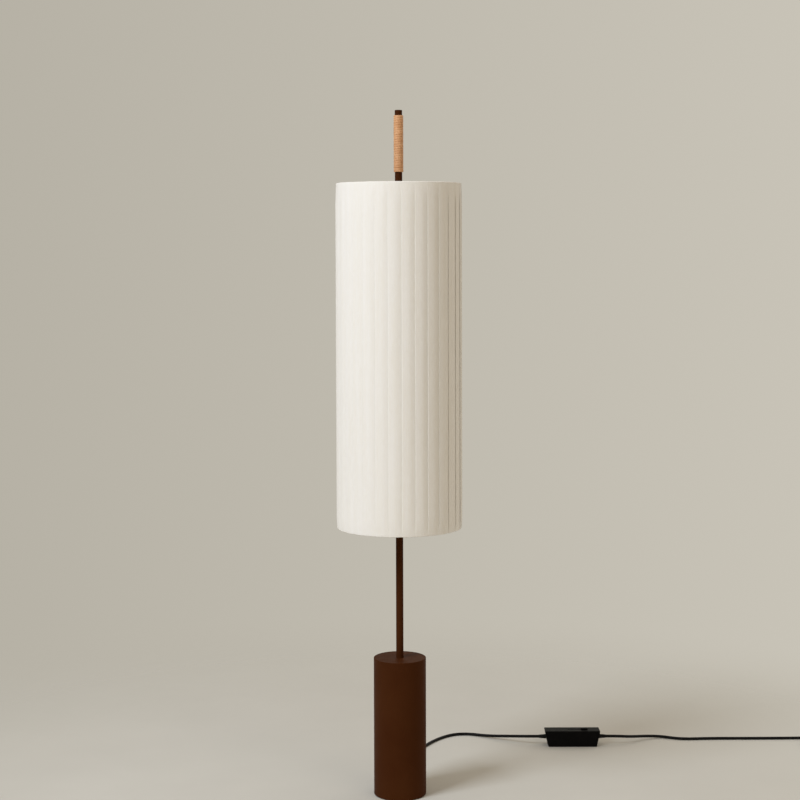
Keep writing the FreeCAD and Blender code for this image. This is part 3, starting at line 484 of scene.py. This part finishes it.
def coil_points():
    """Control points round each turn, a little outside it, because the line cuts inside them."""
    outside = 1 / math.cos(math.pi / COIL_POINTS)
    points = []
    for index in range(round(COIL_TURNS * COIL_POINTS) + 1):
        turn = index / COIL_POINTS
        past = turn - COIL_TURNBACK
        reach = (COIL_INNER + COIL_PITCH * abs(past)) * outside
        rise = COIL_LAYER * smoothstep(past, -COIL_CLIMB, COIL_CLIMB)
        points.append(COIL_CENTRE + polar(reach, TAU / 4 - TAU * turn, rise))
    return points


def cord_curve(name, points):
    """A round cord along one smooth line, with points as its control points."""
    curve = bpy.data.curves.new(name, "CURVE")
    curve.dimensions = "3D"
    curve.bevel_depth = CORD_RADIUS
    curve.bevel_resolution = 5
    curve.resolution_u = 8
    curve.use_fill_caps = True
    spline = curve.splines.new("NURBS")
    spline.points.add(len(points) - 1)
    for spot, point in zip(spline.points, points):
        spot.co = (*point, 1)
    spline.order_u = 3
    spline.use_endpoint_u = True
    cord = bpy.data.objects.new(name, curve)
    bpy.context.scene.collection.objects.link(cord)
    return finished(cord, MATERIALS["cord_jacket"], "stand")


first_cord = cord_curve("mains_lead_to_dimmer", TO_DIMMER)
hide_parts("cord_to_dimmer")


def make_boot(name, degrees):
    """The ribbed boot round the lead at one end of the dimmer."""
    piece = mesh_piece(name, *turned(heading(DIMMER_CENTRE, "Y", degrees), BOOT_PROFILE),
                       MATERIALS["black_rubber"], "stand", "black_rubber", RUBBER_SHARP)
    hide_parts("dimmer_boots")
    return piece


# The slider's knob and the blade below it, in millimetres.
KNOB_LEFT, KNOB_RIGHT = 380.5, 394.5
KNOB_FOOT, KNOB_TOP = 33.5, 36.1
KNOB_HALF = 4.5
KNOB_MIDDLE = 316
KNOB_CORNER = 0.6
KNOB_END_ROUND = 0.8
KNOB_TOP_ROUND = 0.7
KNOB_SLICES = 84
KNOB_RIB_PITCH = 1.25
KNOB_RIB_DEPTH = 0.5
KNOB_PLAIN_END = 2
BLADE_ENDS = (384.5, 390.5)
BLADE_FOOT, BLADE_TOP = 17.6, 33.6
BLADE_HALF = 0.8
BLADE_CORNER = 0.2


def make_knob():
    """The slider's ribbed knob, with the blade below it that goes into the fader."""
    knob = []
    for step in range(KNOB_SLICES + 1):
        x = KNOB_LEFT + (KNOB_RIGHT - KNOB_LEFT) * step / KNOB_SLICES
        past = max(KNOB_END_ROUND - min(x - KNOB_LEFT, KNOB_RIGHT - x), 0)
        drawn_in = KNOB_END_ROUND - math.sqrt(KNOB_END_ROUND ** 2 - past ** 2)
        groove = 0
        if KNOB_LEFT + KNOB_PLAIN_END < x < KNOB_RIGHT - KNOB_PLAIN_END:
            groove = 0.5 - 0.5 * math.cos(TAU * (x - KNOB_LEFT - KNOB_PLAIN_END) / KNOB_RIB_PITCH)
        top = KNOB_TOP - drawn_in * KNOB_TOP_ROUND - KNOB_RIB_DEPTH * groove
        knob.append(rounded_loop(x, KNOB_HALF - drawn_in, KNOB_FOOT, top, KNOB_CORNER))
    blade = [rounded_loop(x, BLADE_HALF, BLADE_FOOT, BLADE_TOP, BLADE_CORNER, 2) for x in BLADE_ENDS]
    middle = mm(0, KNOB_MIDDLE, 0)
    solids = [lofted([[point + middle for point in loop] for loop in loops]) for loops in (knob, blade)]
    piece = mesh_piece("ribbed_knob", *joined(*solids), MATERIALS["black_plastic"], "slider",
                       "black_plastic")
    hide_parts("dimmer_slider")
    return piece


knob = make_knob()
dimmer_nodes = [nodes[name] for name in ("dimmer_base", "dimmer_cover", "dimmer_board", "dimmer_fader",
                                         "dimmer_screws")]
dimmer_nodes += [knob, make_boot("boot_to_base", -90)]

relief = mesh_piece("lead_relief", *turned(heading(mm(0, 0, EXIT_HEIGHT), "X", -90), RELIEF_PROFILE),
                    MATERIALS["black_rubber"], "stand", "black_rubber", RUBBER_SHARP)
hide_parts("base_relief")

second_cord = cord_curve("mains_lead_to_plug", TO_COIL + coil_points() + TO_PLUG)
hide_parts("cord_to_coil", "cord_coil", "cord_tail")


# The plug, in millimetres: its front face's middle, and its sections as (distance behind that face, half
# width, half height, squareness), where a squareness of 2 is an ellipse.
PLUG_X, PLUG_FRONT, PLUG_Z = 934, 168, 6.8
PLUG_AROUND = 64
PLUG_COURSE = [
    (0.0, 15.9, 5.5, 5), (0.3, 16.8, 6.2, 5), (1.2, 17.4, 6.7, 5), (3.0, 17.5, 6.8, 5),
    (6.0, 17.5, 6.75, 5), (9.0, 17.4, 6.2, 5), (13.0, 17.3, 5.85, 5), (18.0, 17.3, 5.85, 5),
    (21.5, 17.1, 6.2, 5),
    (24.0, 16.2, 6.65, 4.5), (27.0, 14.0, 6.8, 4), (30.0, 11.2, 6.7, 3.4), (33.0, 8.4, 6.4, 2.8),
    (35.5, 6.5, 6.1, 2.2), (36.6, 5.6, 5.6, 2),
]
PLUG_COURSE += [(along, radius, radius, 2) for along, radius in ribbed(37, 54.4, 5.1, 3.85, 5, 0.6)]
PLUG_COURSE += [(54.6, 3.7, 3.7, 2), (55.7, 3.6, 3.6, 2), (56, 3.4, 3.4, 2)]


def make_plug():
    """A flat moulded plug: rounded body with a finger hollow on each face, and a ribbed tail."""
    def squared(value, square):
        return math.copysign(abs(value) ** (2 / square), value)

    loops = []
    for along, wide, high, square in PLUG_COURSE:
        loop = []
        for step in range(PLUG_AROUND):
            angle = TAU * step / PLUG_AROUND
            loop.append(mm(PLUG_X + wide * squared(math.cos(angle), square), PLUG_FRONT + along,
                           PLUG_Z + high * squared(math.sin(angle), square)))
        loops.append(loop[::-1])
    piece = mesh_piece("moulded_plug", *lofted(loops), MATERIALS["black_plastic"], "stand",
                       "black_plastic", RUBBER_SHARP)
    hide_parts("plug_body")
    return piece


plug_nodes = [make_boot("boot_to_plug", 90), make_plug(), nodes["plug_pins"], nodes["coil_tie"]]


# ---------------------------------------------------------------- shade

STRIPS = 30
FIRST_JOINT = math.radians(270 + 2.6)
SHADE_LOW, SHADE_HIGH = (corner.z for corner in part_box("shade_cover"))
PAPER_RADIUS = 118.8 * MM
RING_RADIUS = 116.0 * MM
RING_LEVEL = 2.5 * MM
LINING_INNER = 117.95 * MM
LINING_OUTER = 118.3 * MM
LINING_GAP = 6 * MM

# One strip's outer line: how far round from its left edge, and how far out of the paper's radius, in
# millimetres. It starts below the folded left edge, which hangs over the strip before it, rises a
# little along its width and bends down under the next strip.
STRIP_OUTLINE = [
    (0.9, 0.34), (0.35, 0.33), (0.0, 0.40), (-0.18, 0.55), (-0.14, 0.74), (0.05, 0.88), (0.4, 0.96),
    (1.0, 0.98), (2.2, 0.99), (4.5, 1.04), (8.0, 1.12), (11.0, 1.15), (13.5, 1.09), (15.8, 0.92),
    (18.0, 0.66), (20.0, 0.36), (22.0, 0.04), (24.0, -0.28), (25.5, -0.42), (27.2, -0.50),
]
STRIP_UNDERSIDE = [(27.2, -0.80), (22.0, -0.30), (18.0, 0.30), (14.0, 0.70), (8.0, 0.77), (1.6, 0.62)]


# The paper's course round a ring from inside to outside: how far out of the ring's middle and how far
# past it, in millimetres, the way its face looks (90 inwards, 0 away from the shade, -90 outwards), and
# how much of the lap has come up.
RING_FOLD = [
    (1.5, -9.5, 90, 0.0), (-0.8, -5.5, 95, 0.0), (-2.25, -1.8, 90, 0.0), (-2.4, 0.6, 90, 0.0),
    (-2.2, 1.7, 70, 0.1), (-1.5, 2.25, 30, 0.2), (-0.4, 2.36, 3, 0.4), (0.8, 2.34, 0, 0.6),
    (1.6, 2.26, -8, 0.8), (2.15, 2.02, -30, 0.9), (2.42, 1.6, -60, 1.0), (2.52, 0.9, -85, 1.0),
]

# Heights of the wall's rows above the bottom ring, and below the top ring for the last ones, in
# millimetres.
WALL_FIRST = [2, 6, 12, 21, 34]
WALL_STEP = 22.2
WALL_STEPS = 26
WALL_LAST = (22, 14, 8, 3)

# The paper is pulled in near the rings, and its laps are flatter there: how much of a lap shows inside
# the fold, at the bottom ring and at the top ring, and where it is whole again.
RING_PULL = 0.28 * MM
RING_PULL_REACH = 10 * MM
LAP_INSIDE = 0.10
LAP_BOTTOM = 0.35
LAP_TOP = 0.14
LAP_BOTTOM_REACH = 18 * MM
LAP_TOP_START, LAP_TOP_REACH = 4 * MM, 42 * MM

# No two strips are alike: how much each stands out, how far it is shifted and how far it wanders, in
# millimetres, and how much its height varies along it.
STRIP_SHARP = 50
STRIP_SEED = 11
STRIP_RAISE = (0.84, 1.0)
STRIP_DRIFT = 0.25
STRIP_WANDER = 0.35
STRIP_SWELL = 0.06
STRIP_MOST = 1.19
STRIP_FLAT_DROP = 0.30


def shade_rows():
    """The paper's course from its bottom flap up the outside to its top flap.

    Each row gives the radius, the height, the direction in which the strip stands out, as
    (outwards, upwards), and how much of the lap shows there.
    """
    def fold(level, up, lap):
        """Round one ring: up is 1 for the top ring and -1 for the bottom one."""
        rows = []
        for x, y, lean, share in RING_FOLD:
            out, rise = -math.sin(math.radians(lean)), math.cos(math.radians(lean))
            rows.append((RING_RADIUS + x * MM, level + up * y * MM, (out, up * rise),
                         LAP_INSIDE + (lap - LAP_INSIDE) * share))
        return rows

    low = SHADE_LOW + RING_LEVEL
    high = SHADE_HIGH - RING_LEVEL
    bottom = fold(low, -1, LAP_BOTTOM)
    top = fold(high, 1, LAP_TOP)
    heights = WALL_FIRST + [WALL_FIRST[-1] + WALL_STEP * step for step in range(1, WALL_STEPS + 1)]
    heights += [high / MM - low / MM - gap for gap in WALL_LAST]
    wall = []
    for height in heights:
        above = height * MM
        below = high - low - above
        pull = RING_PULL * (1 - smoothstep(min(above, below), 0, RING_PULL_REACH))
        lap = min(LAP_BOTTOM + (1 - LAP_BOTTOM) * smoothstep(above, 0, LAP_BOTTOM_REACH),
                  LAP_TOP + (1 - LAP_TOP) * smoothstep(below, LAP_TOP_START, LAP_TOP_REACH))
        wall.append((PAPER_RADIUS - pull, low + above, (1, 0), lap))
    return bottom + wall + list(reversed(top))


def make_shade():
    """All strips as one piece; each strip is a closed solid of its own."""
    rows = shade_rows()
    rng = random.Random(STRIP_SEED)
    points = []
    faces = []
    for number in range(STRIPS):
        start = FIRST_JOINT + number * TAU / STRIPS
        raise_by = rng.uniform(*STRIP_RAISE)
        drift = rng.uniform(-STRIP_DRIFT, STRIP_DRIFT)
        phase = rng.uniform(0, 100)
        loops = []
        for radius, height, (out, rise), lap in rows:
            wander = noise.noise(Vector((phase, height * 7, 0)))
            swell = 1 + STRIP_SWELL * noise.noise(Vector((phase, height * 4, 5)))
            shift = (drift + STRIP_WANDER * wander) * lap * MM
            lifts = [(along, min(lift * lap * raise_by * swell, STRIP_MOST) * MM)
                     for along, lift in STRIP_OUTLINE]
            lifts += [(along, (lift * lap * raise_by * swell - STRIP_FLAT_DROP * (1 - lap)) * MM)
                      for along, lift in STRIP_UNDERSIDE]
            loops.append([polar(radius + out * stand, start + (along * MM + shift) / PAPER_RADIUS,
                                height + rise * stand) for along, stand in lifts])
        strip_points, strip_faces = lofted(loops, first=len(points))
        points += strip_points
        faces += strip_faces
    strips = mesh_piece("shade_strips", points, faces, MATERIALS["shade_paper"], "shade", "shade_paper",
                        STRIP_SHARP)
    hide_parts("shade_cover")


def tube(name, inner, outer, low, high, material, body, slot, around=180, rows=2):
    """A plain tube as a closed loft round the axis."""
    heights = [low + (high - low) * row / (rows - 1) for row in range(rows)]
    loops = []
    for step in range(around):
        angle = TAU * step / around
        section = [polar(outer, angle, height) for height in heights]
        section += [polar(inner, angle, height) for height in reversed(heights)]
        loops.append(section)
    points, faces = lofted(loops, closed=True)
    return mesh_piece(name, points, faces, material, body, slot)


make_shade()
tube("shade_lining", LINING_INNER, LINING_OUTER, SHADE_LOW + LINING_GAP, SHADE_HIGH - LINING_GAP, LINING,
     "shade", "shade_paper", rows=12)


# ---------------------------------------------------------------- grip

GRIP_LOW, GRIP_HIGH = (corner.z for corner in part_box("grip_winding"))
GRIP_OUT = 9.12 * MM
GRIP_IN = 6.9 * MM
GRIP_TURNS = 24
GRIP_STEPS = 40
GRIP_SHARP = 60
GRIP_ROUND_TOP = 1.3 * MM
GRIP_ROUND_BOTTOM = 0.7 * MM

# The strip's section, as (across it, into it), both from 0 to 1.
GRIP_SECTION = [(0.0, 1.0), (0.0, 0.22), (0.035, 0.09), (0.10, 0.03), (0.25, 0.0), (0.5, -0.02),
                (0.75, 0.0), (0.90, 0.03), (0.965, 0.09), (1.0, 0.22), (1.0, 1.0)]

# Half the gap between turns and how much wider it gets in places, how much the strip swells, how thin it
# is where it tapers out at the ends, and how deep it still goes there.
GRIP_GAP = 0.03
GRIP_GAP_VARIES = 0.14
GRIP_PUFF = 0.09 * MM
GRIP_THIN = 0.02 * MM
GRIP_TAPER = 3
GRIP_DEPTH_AT_END = 0.35

UNDERLAY_IN = 5.05 * MM
UNDERLAY_CLEAR = 0.02 * MM
UNDERLAY_SHORT = 0.3 * MM


def shoulder(height):
    """How far the winding draws in near its ends."""
    drop = 0
    for round_over, gap in ((GRIP_ROUND_TOP, GRIP_HIGH - height),
                            (GRIP_ROUND_BOTTOM, height - GRIP_LOW)):
        past = min(max(round_over - gap, 0), round_over)
        drop += round_over - math.sqrt(round_over ** 2 - past ** 2)
    return drop


def make_grip():
    """A flat strip wound upwards without gaps; its first and last turns taper to a flat end."""
    pitch = (GRIP_HIGH - GRIP_LOW) / GRIP_TURNS
    loops = []
    for step in range((GRIP_TURNS + 1) * GRIP_STEPS + 1):
        turn = step / GRIP_STEPS
        gap = (GRIP_GAP + GRIP_GAP_VARIES * max(noise.noise(Vector((turn * 0.8, 3, 0))), 0)) * MM
        low = max(GRIP_LOW + pitch * (turn - 1) + gap, GRIP_LOW)
        high = min(GRIP_LOW + pitch * turn - gap, GRIP_HIGH)
        high = max(high, low + GRIP_THIN)
        puff = GRIP_PUFF * noise.noise(Vector((turn * 1.7, 0, 9)))
        whole = min((high - low) / pitch * GRIP_TAPER, 1)
        reach = GRIP_DEPTH_AT_END + (1 - GRIP_DEPTH_AT_END) * whole
        loop = []
        for across, depth in GRIP_SECTION:
            height = low + (high - low) * across
            outside = GRIP_OUT + puff - shoulder(height)
            loop.append(polar(outside - depth * (outside - GRIP_IN) * reach, TAU * turn, height))
        loops.append(loop)
    points, faces = lofted(loops)
    strip = mesh_piece("grip_strip", points, faces, MATERIALS["grip_leather"], "stand", "grip_leather",
                       GRIP_SHARP)
    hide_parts("grip_winding")
    tube("grip_underlay", UNDERLAY_IN, GRIP_IN - UNDERLAY_CLEAR, GRIP_LOW + UNDERLAY_SHORT,
         GRIP_HIGH - UNDERLAY_SHORT, MATERIALS["grip_leather"], "stand", "grip_leather", around=48)


make_grip()


# ---------------------------------------------------------------- stage and light

# Backdrop colours with painted light: darker on the left, lighter on the right, as if the wall were lit
# more from the right.
PAINTED_FALLOFF_BACKDROP = (srgb(181, 176, 164), srgb(201, 196, 184))
FLOOR_TONES = (srgb(205, 204, 196), srgb(209, 208, 200))
SKY_COLOR = (1.0, 0.87, 0.73, 1)
SKY_LOW = 0.16
SKY_HIGH = 0.58
BACKDROP_SPREAD = 0.26
FLOOR_RADIUS = 6
FLOOR_SIDES = 96
FLOOR_LEVEL = -0.0002
FLOOR_FADE = (0.4, 1.6)

# name, place, what it points at, (width, height), power in watts, colour
SOFTBOXES = [
    ("key", (-2.95, -2.55, 4.1), (0.1, 0, 0.6), (1.7, 1.9), 168, (0.94, 1.0, 1.10)),
    ("rim", (2.2, 1.7, 1.9), (1.1, 0.7, 0), (1.2, 1.4), 7, (1.0, 0.93, 0.85)),
    ("fill", (1.9, -2.4, 2.4), (0.2, 0, 0.5), (2.2, 1.8), 12, (1.0, 0.86, 0.66)),
]


def seen_ray(tree):
    """1 for what the camera sees, directly, in a gloss or through glass."""
    path = tree.nodes.new("ShaderNodeLightPath")
    total = path.outputs["Is Camera Ray"]
    for name in ("Is Glossy Ray", "Is Transmission Ray"):
        either = tree.nodes.new("ShaderNodeMath")
        either.operation = "MAXIMUM"
        tree.links.new(total, either.inputs[0])
        tree.links.new(path.outputs[name], either.inputs[1])
        total = either.outputs[0]
    return total


def make_floor():
    """A round floor that fades out into the backdrop towards its edge."""
    mesh = bpy.data.meshes.new("floor")
    rim = [polar(FLOOR_RADIUS, TAU * step / FLOOR_SIDES, FLOOR_LEVEL) for step in range(FLOOR_SIDES)]
    mesh.from_pydata(rim, [], [tuple(range(FLOOR_SIDES))])
    floor = bpy.data.objects.new("floor", mesh)
    bpy.context.scene.collection.objects.link(floor)
    finish = Finish("floor", FLOOR_TONES[0], 0.75)
    finish.set_color(finish.mixed(finish.noise(0.25, detail=3), *FLOOR_TONES))
    distance = finish.add("ShaderNodeVectorMath", operation="LENGTH")
    finish.link(finish.place, distance.inputs[0])
    fade = finish.add("ShaderNodeMapRange", interpolation_type="SMOOTHSTEP")
    fade.inputs["From Min"].default_value = FLOOR_FADE[0]
    fade.inputs["From Max"].default_value = FLOOR_FADE[1]
    finish.link(distance.outputs["Value"], fade.inputs["Value"])
    share = finish.add("ShaderNodeMath", operation="MULTIPLY")
    finish.link(fade.outputs["Result"], share.inputs[0])
    finish.link(seen_ray(finish.tree), share.inputs[1])
    clear = finish.add("ShaderNodeBsdfTransparent")
    mix = finish.add("ShaderNodeMixShader")
    finish.link(share.outputs["Value"], mix.inputs[0])
    finish.link(finish.shader.outputs[0], mix.inputs[1])
    finish.link(clear.outputs[0], mix.inputs[2])
    finish.link(mix.outputs[0], finish.tree.nodes["Material Output"].inputs["Surface"])
    mesh.materials.append(finish.material)


def make_world():
    """Soft light all round, stronger from above; the camera sees a backdrop instead, painted darker
    towards -X and lighter towards +X as a painted light falloff.
    """
    world = bpy.data.worlds.new("studio")
    bpy.context.scene.world = world
    world.use_nodes = True
    tree = world.node_tree
    direction = tree.nodes.new("ShaderNodeSeparateXYZ")
    tree.links.new(tree.nodes.new("ShaderNodeTexCoord").outputs["Generated"], direction.inputs[0])

    def ramp(output, start, end, low, high):
        node = tree.nodes.new("ShaderNodeMapRange")
        numbers = {"From Min": start, "From Max": end, "To Min": low, "To Max": high}
        for socket, value in numbers.items():
            node.inputs[socket].default_value = value
        tree.links.new(output, node.inputs["Value"])
        return node.outputs["Result"]

    light = tree.nodes["Background"]
    light.inputs["Color"].default_value = SKY_COLOR
    tree.links.new(ramp(direction.outputs["Z"], 0, 1, SKY_LOW, SKY_HIGH), light.inputs["Strength"])
    # Painted light falloff: the backdrop blends from its darker left colour to its lighter right colour
    # across X.
    shade = tree.nodes.new("ShaderNodeMix")
    shade.data_type = "RGBA"
    across = ramp(direction.outputs["X"], -BACKDROP_SPREAD, BACKDROP_SPREAD, 0, 1)
    tree.links.new(across, shade.inputs["Factor"])
    for socket, color in zip(("A", "B"), PAINTED_FALLOFF_BACKDROP):
        shade.inputs[socket].default_value = color
    shown = tree.nodes.new("ShaderNodeBackground")
    tree.links.new(shade.outputs["Result"], shown.inputs["Color"])
    mix = tree.nodes.new("ShaderNodeMixShader")
    tree.links.new(seen_ray(tree), mix.inputs[0])
    tree.links.new(light.outputs[0], mix.inputs[1])
    tree.links.new(shown.outputs[0], mix.inputs[2])
    tree.links.new(mix.outputs[0], tree.nodes["World Output"].inputs["Surface"])


def softbox(name, place, target, size, power, color):
    data = bpy.data.lights.new(name, "AREA")
    data.color = color
    data.shape = "RECTANGLE"
    data.size, data.size_y = size
    data.energy = power
    lamp = bpy.data.objects.new(name, data)
    bpy.context.scene.collection.objects.link(lamp)
    lamp.location = place
    lamp.rotation_euler = (Vector(target) - Vector(place)).to_track_quat("-Z", "Y").to_euler()
    lamp.visible_camera = False


make_floor()
make_world()
for box in SOFTBOXES:
    softbox(*box)
bpy.context.scene.view_settings.view_transform = "Standard"
